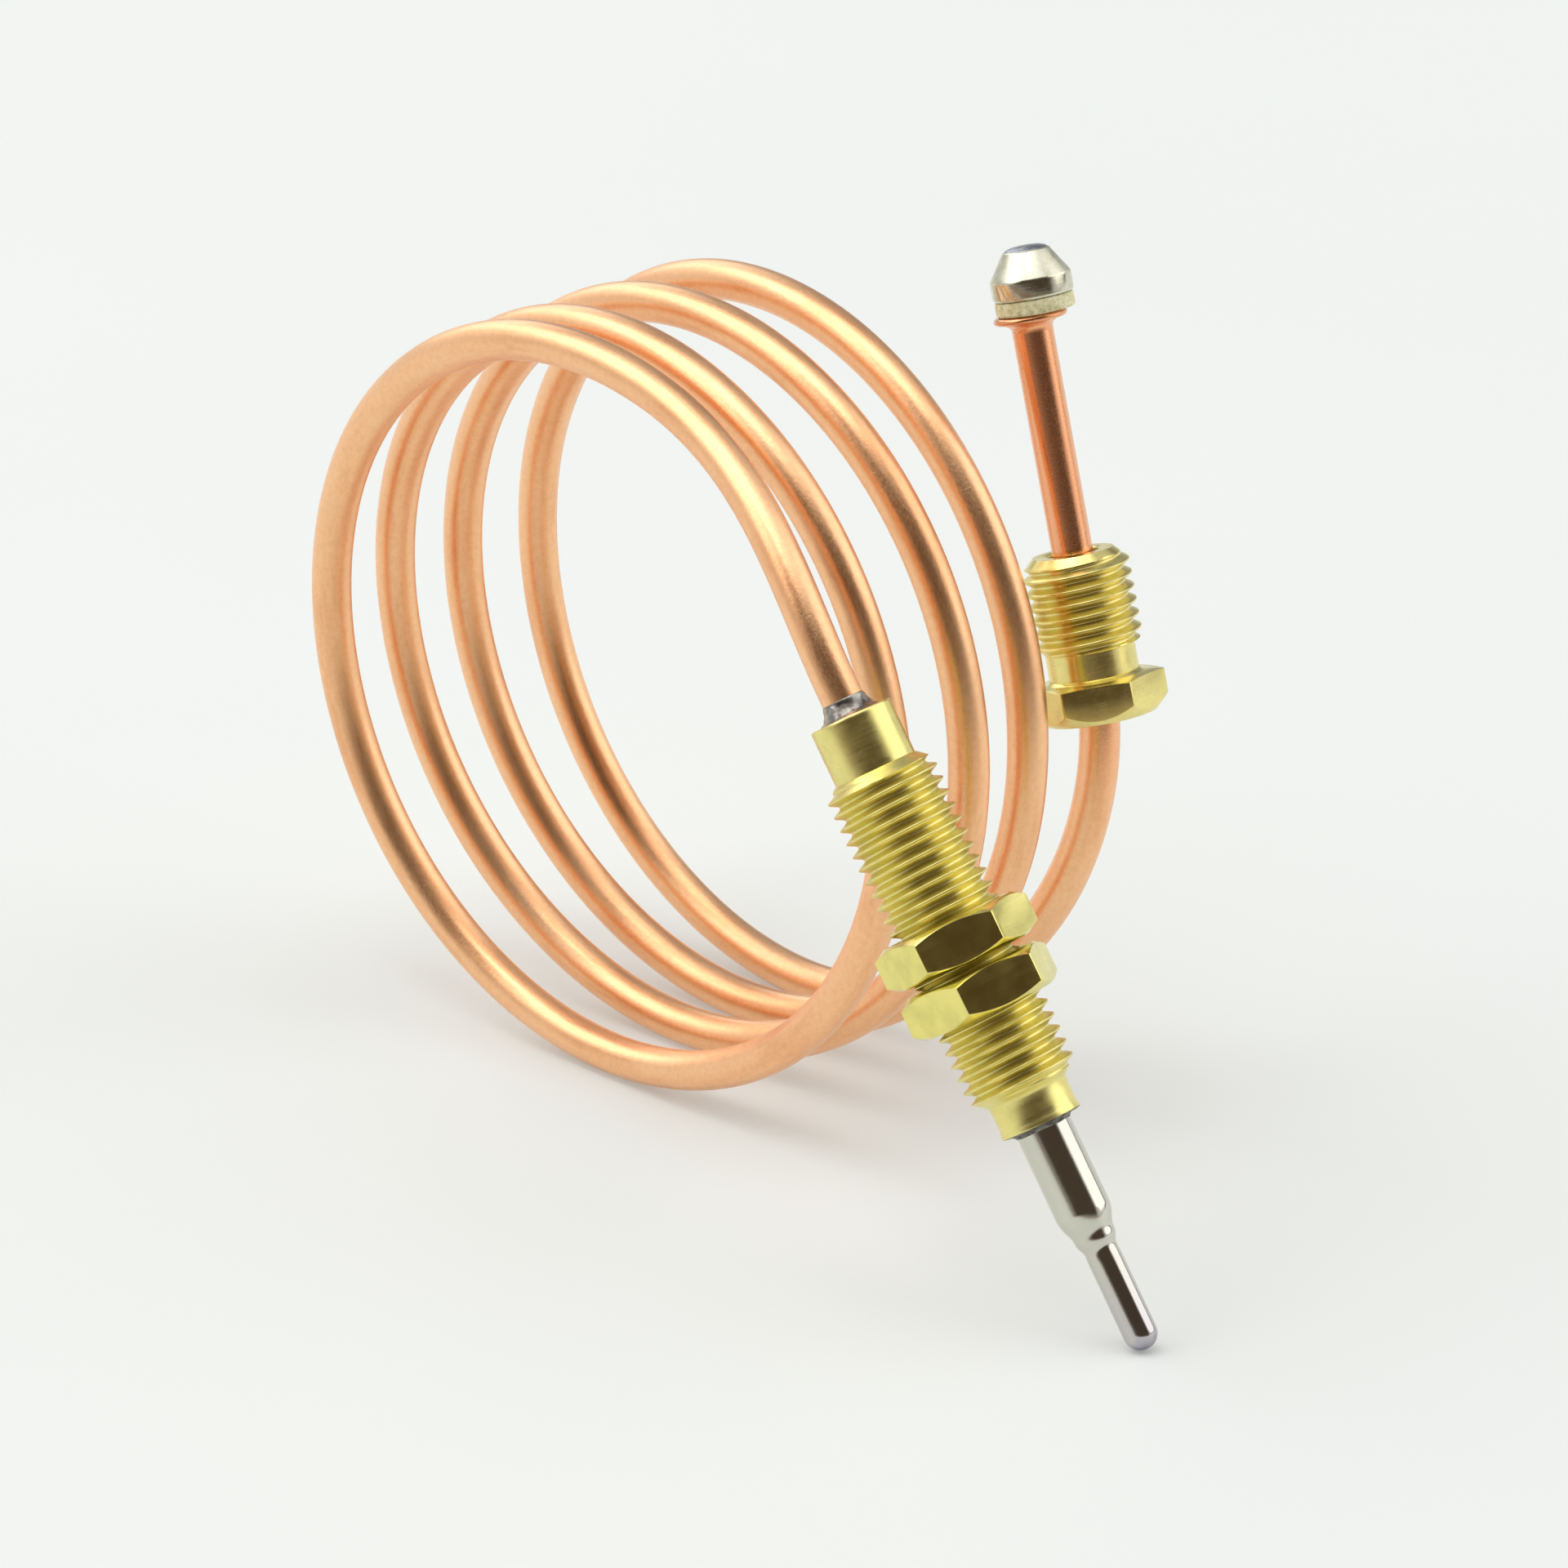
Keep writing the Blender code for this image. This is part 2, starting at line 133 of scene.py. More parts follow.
PROBE = axis_matrix(PROBE_ORIGIN, PROBE_WAY)
CONNECTOR = axis_matrix(CONNECTOR_ORIGIN, CONNECTOR_WAY)
BUTTON = axis_matrix(CONNECTOR_ORIGIN, CONNECTOR_WAY, BUTTON_SHIFT)
WORLD = Matrix.Identity(4)


# Camera

def add_camera():
    """Camera 45 degrees round from -Y towards +X, and 23 degrees up."""
    azimuth, elevation = math.radians(CAMERA_AZIMUTH), math.radians(CAMERA_ELEVATION)
    roll = math.radians(CAMERA_ROLL)
    level = math.cos(elevation)
    forward = Vector((-math.sin(azimuth) * level, math.cos(azimuth) * level, -math.sin(elevation)))
    right = Vector((math.cos(azimuth), math.sin(azimuth), 0.0))
    up = right.cross(forward)
    target = Vector((COIL_X, COIL_Y, CAMERA_AIM_HEIGHT))
    target = target + right * CAMERA_AIM_RIGHT - up * CAMERA_AIM_DOWN
    place = target - forward * CAMERA_DISTANCE
    turned_right = right * math.cos(roll) + up * math.sin(roll)
    turned_up = up * math.cos(roll) - right * math.sin(roll)
    camera = bpy.data.objects.new("camera", bpy.data.cameras.new("camera"))
    bpy.context.scene.collection.objects.link(camera)
    turn = Matrix((turned_right, turned_up, -forward)).transposed()
    camera.matrix_world = Matrix.Translation(place * MM) @ turn.to_4x4()
    camera.data.lens = CAMERA_LENS
    camera.data.sensor_width = 36.0
    camera.data.clip_start = 0.01
    camera.data.clip_end = 50.0
    bpy.context.scene.camera = camera


# Node materials

def node(tree, kind, inputs=None, **settings):
    """Add a node; inputs maps a socket's name or index to a value or to an output to link."""
    made = tree.nodes.new(kind)
    for key, value in settings.items():
        setattr(made, key, value)
    for key, value in (inputs or {}).items():
        if isinstance(value, bpy.types.NodeSocket):
            tree.links.new(value, made.inputs[key])
        else:
            made.inputs[key].default_value = value
    return made


def principled(name, **sockets):
    """New material, its tree and its shader; socket names use underscores for spaces."""
    made = bpy.data.materials.new(name)
    made.use_nodes = True
    shader = made.node_tree.nodes["Principled BSDF"]
    for key, value in sockets.items():
        shader.inputs[key.replace("_", " ")].default_value = value
    return made, made.node_tree, shader


def wire(tree, shader, **sockets):
    """Link outputs to the shader's sockets; their names use underscores for spaces."""
    for key, value in sockets.items():
        tree.links.new(value, shader.inputs[key.replace("_", " ")])


def stretched(tree, vector, factors):
    return node(tree, "ShaderNodeVectorMath", {0: vector, 1: factors}, operation="MULTIPLY").outputs[0]


def object_mm(tree):
    """The piece's own coordinates in millimetres."""
    return stretched(tree, node(tree, "ShaderNodeTexCoord").outputs["Object"], (1000.0, 1000.0, 1000.0))


def along_z(tree, vector):
    return node(tree, "ShaderNodeSeparateXYZ", {"Vector": vector}).outputs["Z"]


def noise(tree, vector, scale, detail=3.0, roughness=0.5):
    return node(tree, "ShaderNodeTexNoise", {
        "Vector": vector, "Scale": scale, "Detail": detail, "Roughness": roughness}).outputs["Fac"]


def ramp(tree, factor, stops):
    """Colour ramp; stops are (place, colour) or (place, grey)."""
    made = node(tree, "ShaderNodeValToRGB", {"Fac": factor})
    elements = made.color_ramp.elements
    while len(elements) < len(stops):
        elements.new(0.5)
    for element, (place, colour) in zip(elements, stops):
        element.position = place
        grey = isinstance(colour, float)
        element.color = (colour, colour, colour, 1.0) if grey else (*colour, 1.0)
    return made.outputs["Color"]


def spread(tree, value, low, high, to_low, to_high):
    """Map low..high to to_low..to_high, and hold the ends."""
    return node(tree, "ShaderNodeMapRange", {
        "Value": value, "From Min": low, "From Max": high, "To Min": to_low, "To Max": to_high}).outputs[0]


def combine(tree, operation, first, second):
    return node(tree, "ShaderNodeMath", {0: first, 1: second}, operation=operation).outputs[0]


def window(tree, value, low, high, soft):
    """1 between low and high, falling to 0 over soft on either side."""
    sides = []
    for edge, outside, inside in ((low, 0.0, 1.0), (high, 1.0, 0.0)):
        sides.append(node(tree, "ShaderNodeMapRange", {
            "Value": value, "From Min": edge - soft, "From Max": edge + soft,
            "To Min": outside, "To Max": inside}, interpolation_type="SMOOTHSTEP").outputs[0])
    return combine(tree, "MULTIPLY", *sides)


def blend_colours(tree, factor, first, second, how="MIX"):
    made = node(tree, "ShaderNodeMix", data_type="RGBA", blend_type=how)
    for key, value in (("Factor", factor), ("A", first), ("B", second)):
        sockets = [s for s in made.inputs if s.name == key and s.enabled]
        if isinstance(value, bpy.types.NodeSocket):
            tree.links.new(value, sockets[0])
        elif key == "Factor":
            sockets[0].default_value = value
        else:
            sockets[0].default_value = (*value, 1.0)
    return [s for s in made.outputs if s.enabled][0]


def bump(tree, height, depth_mm, strength, below=None):
    """Normal with the height's bumps on it, over those of another normal if one is given."""
    inputs = {"Height": height, "Distance": depth_mm * MM, "Strength": strength}
    if below is not None:
        inputs["Normal"] = below
    return node(tree, "ShaderNodeBump", inputs).outputs["Normal"]


def copper_look(name, tube=True):
    """Satin drawn copper: crystalline grain, specks, faint tarnish, draw lines and scratches.

    The lead's straight end is smoother and redder than its wound part, and formed copper is redder still.
    """
    made, tree, shader = principled(name, Metallic=1.0, Coat_Weight=0.5, Coat_Roughness=0.3)
    if tube:
        place = node(tree, "ShaderNodeAttribute", attribute_name="tube_mm").outputs["Vector"]
    else:
        place = object_mm(tree)
    drawn = (1.0, 1.0, 0.16)
    tarnish = noise(tree, stretched(tree, place, drawn), scale=0.55, detail=5.0, roughness=0.6)
    grain = noise(tree, place, scale=7.5, roughness=0.6)
    specks = ramp(tree, noise(tree, place, scale=9.0, detail=2.0), [(0.28, 1.0), (0.34, 0.0)])
    lines = noise(tree, stretched(tree, place, (1.0, 1.0, 0.03)), scale=6.0, roughness=0.6)
    mottle = ramp(tree, noise(tree, place, scale=2.2, detail=4.0, roughness=0.65),
                  [(0.35, (0.95, 0.915, 0.89)), (0.6, (1.0, 1.0, 1.0))])
    colour = ramp(tree, tarnish, [(0.3, (0.88, 0.437, 0.202)), (0.5, (0.985, 0.563, 0.288)),
                                  (0.72, (1.0, 0.617, 0.338))])
    colour = blend_colours(tree, 1.0, colour, mottle, "MULTIPLY")
    colour = blend_colours(tree, combine(tree, "MULTIPLY", specks, 0.3), colour, (0.40, 0.17, 0.09))
    rough = spread(tree, grain, 0.3, 0.7, 0.31, 0.45)
    rough = combine(tree, "ADD", rough, spread(tree, tarnish, 0.35, 0.7, -0.03, 0.05))
    extra_polish = 0.15
    normal = bump(tree, grain, depth_mm=0.014, strength=0.5)
    if tube:
        straight = spread(tree, along_z(tree, place), *STRAIGHT_SURFACE, 0.0, 1.0)
        rough = combine(tree, "SUBTRACT", rough, combine(tree, "MULTIPLY", straight, extra_polish))
        colour = blend_colours(tree, straight, colour, (0.90, 0.41, 0.20))
        coarse = combine(tree, "MULTIPLY", noise(tree, place, scale=4.5, detail=2.0),
                         spread(tree, straight, 0.0, 1.0, 1.0, 0.2))
        normal = bump(tree, coarse, depth_mm=0.017, strength=0.5, below=normal)
    else:
        rough = combine(tree, "SUBTRACT", rough, extra_polish)
        colour = blend_colours(tree, 0.7, colour, (0.72, 0.27, 0.12))
    normal = bump(tree, lines, depth_mm=0.012, strength=0.35, below=normal)
    scratch = node(tree, "ShaderNodeTexVoronoi", {
        "Vector": stretched(tree, place, (0.5, 0.5, 1.4)), "Scale": 0.35, "Randomness": 1.0},
        feature="DISTANCE_TO_EDGE").outputs["Distance"]
    scratched = ramp(tree, noise(tree, place, scale=0.22, detail=1.0), [(0.58, 0.0), (0.66, 1.0)])
    cut = combine(tree, "MULTIPLY", spread(tree, scratch, 0.0, 0.012, 1.0, 0.0), scratched)
    normal = bump(tree, combine(tree, "SUBTRACT", 1.0, cut), depth_mm=0.012, strength=0.3, below=normal)
    wire(tree, shader, Base_Color=colour, Roughness=rough, Normal=normal)
    return made


def brass_look(name, ring_scale, ring_strength, polish, colour, matt=None):
    """Turned brass: rings around the axis, faint stains and pits; matt is (low, high, extra roughness)."""
    made, tree, shader = principled(name, Metallic=1.0)
    place = object_mm(tree)
    rings = noise(tree, stretched(tree, place, (0.06, 0.06, 1.0)), ring_scale, detail=2.0, roughness=0.6)
    stain = noise(tree, place, scale=0.5, detail=4.0, roughness=0.6)
    pits = ramp(tree, noise(tree, place, scale=3.5, detail=2.0, roughness=0.55), [(0.22, 1.0), (0.28, 0.0)])
    dark = tuple(0.84 * c for c in colour)
    light = tuple(min(1.0, 1.05 * c) for c in colour)
    shade = ramp(tree, stain, [(0.3, dark), (0.55, colour), (0.75, light)])
    shade = blend_colours(tree, combine(tree, "MULTIPLY", pits, 0.5), shade, (0.30, 0.24, 0.08))
    rough = combine(tree, "ADD", spread(tree, stain, 0.3, 0.7, polish, polish + 0.09),
                    spread(tree, rings, 0.3, 0.7, -0.02, 0.05))
    if matt is not None:
        low, high, extra = matt
        cut = window(tree, along_z(tree, place), low, high, 0.3)
        rough = combine(tree, "ADD", rough, combine(tree, "MULTIPLY", cut, extra))
    normal = bump(tree, rings, depth_mm=0.012, strength=ring_strength)
    dents = noise(tree, place, scale=5.0, detail=2.0)
    normal = bump(tree, dents, depth_mm=0.006, strength=0.12, below=normal)
    wire(tree, shader, Base_Color=shade, Roughness=rough, Normal=normal)
    return made


def steel_look():
    """Polished steel that turns violet and dark at the very end of its nose."""
    made, tree, shader = principled("polished_steel", Metallic=1.0)
    place = object_mm(tree)
    wobble = spread(tree, noise(tree, place, scale=0.8), 0.3, 0.7, -0.3, 0.3)
    height = combine(tree, "ADD", along_z(tree, place), wobble)
    tint = ramp(tree, spread(tree, height, 30.0, 48.4, 0.0, 1.0), [
        (0.0, (0.60, 0.59, 0.52)), (0.42, (0.63, 0.62, 0.54)), (0.62, (0.60, 0.58, 0.52)),
        (0.93, (0.56, 0.53, 0.53)), (0.97, (0.40, 0.37, 0.44)), (1.0, (0.12, 0.11, 0.17))])
    smear = noise(tree, stretched(tree, place, (1.0, 1.0, 0.3)), scale=1.3, detail=4.0, roughness=0.6)
    rings = noise(tree, stretched(tree, place, (0.05, 0.05, 1.0)), scale=9.0, detail=2.0)
    normal = bump(tree, rings, depth_mm=0.003, strength=0.3)
    dents = noise(tree, place, scale=1.1, detail=2.0)
    normal = bump(tree, dents, depth_mm=0.02, strength=0.25, below=normal)
    wire(tree, shader, Base_Color=tint, Roughness=spread(tree, smear, 0.3, 0.7, 0.05, 0.16), Normal=normal)
    return made


def rough_metal_look(name, dark, light, roughness, grain_scale, depth_mm):
    """Cast-looking metal such as solder and braze."""
    made, tree, shader = principled(name, Metallic=1.0)
    place = object_mm(tree)
    blotch = noise(tree, place, grain_scale, detail=5.0, roughness=0.65)
    grain = noise(tree, place, grain_scale * 2.5, detail=4.0, roughness=0.6)
    wire(tree, shader,
         Base_Color=ramp(tree, blotch, [(0.35, dark), (0.62, light)]),
         Roughness=spread(tree, blotch, 0.3, 0.7, roughness + 0.12, roughness - 0.06),
         Normal=bump(tree, grain, depth_mm, strength=0.8))
    return made


def tinned_look():
    """Bright tin with turning marks and small pits, duller on the cone above its rim."""
    made, tree, shader = principled("tinned_copper", Metallic=1.0)
    place = object_mm(tree)
    blotch = noise(tree, place, scale=1.4, detail=4.0, roughness=0.6)
    pits = ramp(tree, noise(tree, place, scale=3.8, detail=2.0), [(0.24, 1.0), (0.30, 0.0)])
    shade = ramp(tree, blotch, [(0.35, (0.56, 0.54, 0.40)), (0.6, (0.68, 0.665, 0.54))])
    shade = blend_colours(tree, combine(tree, "MULTIPLY", pits, 0.45), shade, (0.25, 0.25, 0.3))
    rim_top = (2.9, 3.1)
    rough = combine(tree, "ADD", spread(tree, blotch, 0.3, 0.7, 0.12, 0.2),
                    spread(tree, along_z(tree, place), *rim_top, 0.0, 0.17))
    rings = noise(tree, stretched(tree, place, (0.08, 0.08, 1.0)), scale=7.0)
    normal = bump(tree, rings, depth_mm=0.012, strength=0.5)
    normal = bump(tree, pits, depth_mm=0.03, strength=0.5, below=normal)
    wire(tree, shader, Base_Color=shade, Roughness=rough, Normal=normal)
    return made


def fibre_look(name, dark, light, flecks, scale=2.4, depth_mm=0.06):
    """Pressed or woven fibre with flecks."""
    made, tree, shader = principled(name)
    place = object_mm(tree)
    body = noise(tree, place, scale, detail=5.0, roughness=0.7)
    fleck = ramp(tree, noise(tree, place, scale * 2.6, detail=2.0, roughness=0.6),
                 [(0.60, 0.0), (0.68, 1.0)])
    shade = ramp(tree, body, [(0.32, dark), (0.6, light)])
    grain = noise(tree, place, scale * 1.6, detail=5.0, roughness=0.7)
    wire(tree, shader,
         Base_Color=blend_colours(tree, combine(tree, "MULTIPLY", fleck, 0.6), shade, flecks),
         Roughness=spread(tree, body, 0.3, 0.7, 0.8, 0.5),
         Normal=bump(tree, grain, depth_mm, strength=0.9))
    return made


def make_looks():
    """Every material of the object, by what it is used for."""
    return {
        "tube": copper_look("drawn_copper"),
        "flange": copper_look("formed_copper", tube=False),
        "thread": brass_look("turned_brass", 6.0, 0.12, 0.24, (0.84, 0.74, 0.27), (4.2, 30.0, 0.05)),
        "nut": brass_look("nut_brass", 5.0, 0.4, 0.12, (0.83, 0.74, 0.24)),
        "union": brass_look("union_brass", 5.0, 0.08, 0.19, (0.85, 0.73, 0.27), (-6.9, -0.4, 0.06)),
        "steel": steel_look(),
        "tin": tinned_look(),
        "solder": rough_metal_look("grey_solder", (0.12, 0.10, 0.085), (0.46, 0.45, 0.41),
                                   0.26, 0.8, 0.025),
        "pad": rough_metal_look("pad_solder", (0.16, 0.18, 0.27), (0.42, 0.43, 0.45), 0.28, 1.2, 0.03),
        "braze": rough_metal_look("rough_braze", (0.04, 0.04, 0.04), (0.28, 0.265, 0.235),
                                  0.42, 2.2, 0.07),
        "washer": fibre_look("pressed_fibre", (0.56, 0.49, 0.22), (0.93, 0.87, 0.56),
                             (0.98, 0.96, 0.85)),
        "ceramic": fibre_look("ceramic", (0.72, 0.70, 0.64), (0.84, 0.82, 0.77), (0.9, 0.89, 0.86),
                              scale=1.5, depth_mm=0.01),
        "glass_fibre": fibre_look("glass_fibre", (0.58, 0.55, 0.44), (0.8, 0.77, 0.66), (0.9, 0.88, 0.8),
                                  scale=3.5),
        "constantan": rough_metal_look("constantan_wire", (0.52, 0.47, 0.40), (0.66, 0.60, 0.52),
                                       0.28, 2.0, 0.01),
        "inner_copper": copper_look("inner_copper", tube=False),
    }


# Meshes

def grid_mesh(name, points, wrap_columns, sharp=None):
    """Mesh of quads over points[column, row] whose rows are closed loops, welded where columns meet."""
    columns, rows = points.shape[:2]
    index = np.arange(columns * rows).reshape(columns, rows)
    if wrap_columns:
        index = np.concatenate([index, index[:1]], 0)
    index = np.concatenate([index, index[:, :1]], 1)
    quads = np.stack([index[:-1, :-1], index[1:, :-1], index[1:, 1:], index[:-1, 1:]], -1).reshape(-1, 4)
    mesh = bpy.data.meshes.new(name)
    mesh.from_pydata((points.reshape(-1, 3) * MM).tolist(), [], quads.tolist())
    shape = bmesh.new()
    shape.from_mesh(mesh)
    bmesh.ops.remove_doubles(shape, verts=shape.verts, dist=2e-7)
    bmesh.ops.dissolve_degenerate(shape, edges=shape.edges, dist=1e-8)
    bmesh.ops.recalc_face_normals(shape, faces=shape.faces)
    shape.to_mesh(mesh)
    shape.free()
    mesh.shade_smooth()
    if sharp is not None:
        mesh.set_sharp_from_angle(angle=math.radians(sharp))
    return mesh


def soften(section, width):
    """Round each corner of section[column, row, (radius, height)] whose rows are a closed loop."""
    before, after = np.roll(section, 1, 1), np.roll(section, -1, 1)
    to_before, to_after = before - section, after - section
    length_before = np.linalg.norm(to_before, axis=-1, keepdims=True) + 1e-9
    length_after = np.linalg.norm(to_after, axis=-1, keepdims=True) + 1e-9
    reach_before = np.minimum(width, 0.4 * length_before)
    reach_after = np.minimum(width, 0.4 * length_after)
    first = section + to_before / length_before * reach_before
    last = section + to_after / length_after * reach_after
    middle = 0.25 * first + 0.5 * section + 0.25 * last
    return np.stack([first, middle, last], 2).reshape(section.shape[0], -1, 2)


def turned_points(section, angles):
    """section[column, row, (radius, height)] to points about Z."""
    radius, height = section[..., 0], section[..., 1]
    return np.stack([radius * np.cos(angles)[:, None], radius * np.sin(angles)[:, None], height], -1)


def turned_mesh(name, profile, sides, width, wobble=None):
    """Body of revolution from a closed loop of (radius, height), with corners rounded over a width."""
    angles = np.linspace(0.0, 2.0 * math.pi, sides, endpoint=False)
    section = np.repeat(np.array(profile, float)[None], sides, 0)
    if width:
        on_axis = section[..., 0] < 1e-6
        section = soften(section, width)
        section[np.repeat(on_axis, 3, 1), 0] = 0.0
    if wobble is not None:
        section = section + wobble(angles[:, None], section)
    return grid_mesh(name, turned_points(section, angles), True, sharp=40.0)


def smooth_noise(angles, heights, seed, scale):
    """Repeatable waviness around and along an axis, about -1 to 1."""
    source = np.random.default_rng(seed)
    total = np.zeros(np.broadcast(angles, heights).shape)
    for _ in range(7):
        around = source.integers(1, 9)
        along = source.uniform(0.3, 2.2) * scale
        phase = source.uniform(0.0, 2.0 * math.pi)
        total = total + np.sin(around * angles + along * heights + phase) / math.sqrt(around)
    return total / 4.0


def thread_radius(angles, heights, start, crest, root, seed):
    """Right-hand thread of 1 mm pitch with small flats, eased flanks and faint burrs on its crests."""
    turns = heights - start - angles / (2.0 * math.pi)
    off_crest = np.abs(turns - np.round(turns))
    flat, flank = 0.04, 0.39
    depth = np.clip((off_crest - flat) / flank, 0.0, 1.0)
    depth = 0.5 * depth + 0.25 * (1.0 - np.cos(math.pi * depth))
    burr = 0.012 * smooth_noise(angles, heights, seed, 2.0) * (1.0 - depth)
    return crest + burr - (crest - root) * depth


# Mesh rows over one pitch of thread, with the crest at 0.
THREAD_ROWS = (-0.5, -0.45, -0.41, -0.395, -0.37, -0.29, -0.20, -0.11, -0.07, -0.05,
               0.0, 0.05, 0.07, 0.11, 0.20, 0.29, 0.37, 0.395, 0.41, 0.45)


def threaded_rows(angles, low, high, start, crest, root, envelope, seed):
    """Rows (radius, height) of a thread between two heights, cut back by an envelope of points."""
    first = math.floor(low - start) - 1
    last = math.ceil(high - start) + 1
    base = np.array([turn + offset for turn in range(first, last + 1) for offset in THREAD_ROWS])
    heights = start + base[None] + angles[:, None] / (2.0 * math.pi)
    heights = np.clip(heights, low, high)
    radius = thread_radius(angles[:, None], heights, start, crest, root, seed)
    radius = np.minimum(radius, np.interp(heights, [p[1] for p in envelope], [p[0] for p in envelope]))
    return np.stack([radius, heights], -1)


def fixed_rows(columns, points):
    """The same (radius, height) points in every column."""
    return np.repeat(np.array(points, float)[None], columns, 0)


def seam_angles(sides):
    """Angles that include both 0 and a full turn, for rows that climb with the angle."""
    return np.linspace(0.0, 2.0 * math.pi, sides + 1)


# Lead

def turn_station(half_turns):
    """The coil's place along Y: a smooth curve through its stations."""
    last = len(TURN_STATIONS) - 1
    index = min(int(half_turns), last - 1)
    part = half_turns - index
    here, ahead = TURN_STATIONS[index], TURN_STATIONS[index + 1]
    before = TURN_STATIONS[index - 1] if index > 0 else 2.0 * here - ahead
    after = TURN_STATIONS[index + 2] if index + 2 <= last else 2.0 * ahead - here
    linear = (ahead - before) * part
    square = (2.0 * before - 5.0 * here + 4.0 * ahead - after) * part ** 2
    cube = (3.0 * here - before - 3.0 * ahead + after) * part ** 3
    return 0.5 * (2.0 * here + linear + square + cube)


def coil_point(angle):
    return Vector((
        COIL_X + COIL_RADIUS * math.cos(angle),
        COIL_Y + turn_station(angle / math.pi) + TURN_LEAN * math.sin(angle),
        COIL_Z + COIL_RADIUS * math.sin(angle),
    ))


def coil_tangent(angle):
    return (coil_point(angle + 0.001) - coil_point(angle - 0.001)).normalized()


def blend_curve(start, start_way, end, end_way, steps):
    """Points inside a cubic from one point and tangent to another."""
    points = []
    for step in range(1, steps):
        s = step / steps
        point = start * (2 * s ** 3 - 3 * s ** 2 + 1) + end * (3 * s ** 2 - 2 * s ** 3)
        point += start_way * (s ** 3 - 2 * s ** 2 + s) + end_way * (s ** 3 - s ** 2)
        points.append(point)
    return points


def lead_route():
    """Centreline of the lead, about 1 mm from point to point."""
    first, last = coil_point(COIL_START), coil_point(COIL_END)
    head = PROBE_ORIGIN - PROBE_WAY * 1.8
    reach_in = (first - head).length
    foot = CONNECTOR_ORIGIN - CONNECTOR_WAY * STRAIGHT_LENGTH
    reach_out = (foot - last).length
    points = [PROBE_ORIGIN + PROBE_WAY * (3.0 - 0.8 * step) for step in range(6)] + [head]
    points += blend_curve(head, -PROBE_WAY * 0.9 * reach_in, first,
                          coil_tangent(COIL_START) * 1.3 * reach_in, ENTRY_STEPS)
    for step in range(COIL_STEPS + 1):
        points.append(coil_point(COIL_START + (COIL_END - COIL_START) * step / COIL_STEPS))
    points += blend_curve(last, coil_tangent(COIL_END) * 1.56 * reach_out, foot,
                          CONNECTOR_WAY * 0.92 * reach_out, EXIT_STEPS)
    points += [foot + CONNECTOR_WAY * 0.9 * step for step in range(29)]
    points += [CONNECTOR_ORIGIN - CONNECTOR_WAY * back for back in (0.95, 0.65, 0.42, 0.28, 0.2)]
    return np.array([tuple(p) for p in points])


def lead_mesh(name, sides=40):
    """Hollow tube along the route with slight waviness, flared under the flange at its end.

    Its tube_mm attribute holds each point's place across the tube and its distance along it.
    """
    centre = lead_route()
    way = np.gradient(centre, axis=0)
    way /= np.linalg.norm(way, axis=1, keepdims=True)
    out = np.cross(way, (0.0, 1.0, 0.0))
    out /= np.linalg.norm(out, axis=1, keepdims=True)
    up = np.cross(out, way)
    along = np.concatenate([[0.0], np.cumsum(np.linalg.norm(np.diff(centre, axis=0), axis=1))])
    angles = np.linspace(0.0, 2.0 * math.pi, sides, endpoint=False)
    around = (out[:, None] * np.cos(angles)[None, :, None] + up[:, None] * np.sin(angles)[None, :, None])
    left = along[-1] - along
    flare_width, flare_length = 0.55, 0.45
    flare = flare_width * np.clip(1.0 - left / flare_length, 0.0, 1.0) ** 2
    dent = 0.012 * smooth_noise(angles[None], along[:, None], 5, 0.12)
    outer_radius = (TUBE_RADIUS + flare)[:, None] + dent
    outer = centre[:, None] + around * outer_radius[..., None]
    inner = centre[:, None] + around * TUBE_BORE_RADIUS
    points = np.concatenate([outer, inner[::-1]], 0)
    mesh = grid_mesh(name, points.transpose(1, 0, 2), True)
    found = np.array([v.co for v in mesh.vertices]) / MM
    flat = points.reshape(-1, 3)
    stamp = np.concatenate([along, along[::-1]])
    local = np.stack([np.cos(angles), np.sin(angles)], -1) * TUBE_RADIUS
    coordinates = np.concatenate([
        np.tile(local, (len(stamp), 1)), np.repeat(stamp, sides)[:, None]], 1)
    order = match_points(flat, found)
    attribute = mesh.attributes.new("tube_mm", "FLOAT_VECTOR", "POINT")
    attribute.data.foreach_set("vector", coordinates[order].astype(np.float32).ravel())
    return mesh


def match_points(known, wanted):
    """Index into known of each wanted point, by position."""
    table = {tuple(key): index for index, key in enumerate(np.round(known, 3).tolist())}
    found = [table.get(tuple(key), -1) for key in np.round(wanted, 3).tolist()]
    for i, index in enumerate(found):
        if index < 0:
            found[i] = int(np.argmin(((known - wanted[i]) ** 2).sum(1)))
    return np.array(found)


# Turned brass and steel pieces

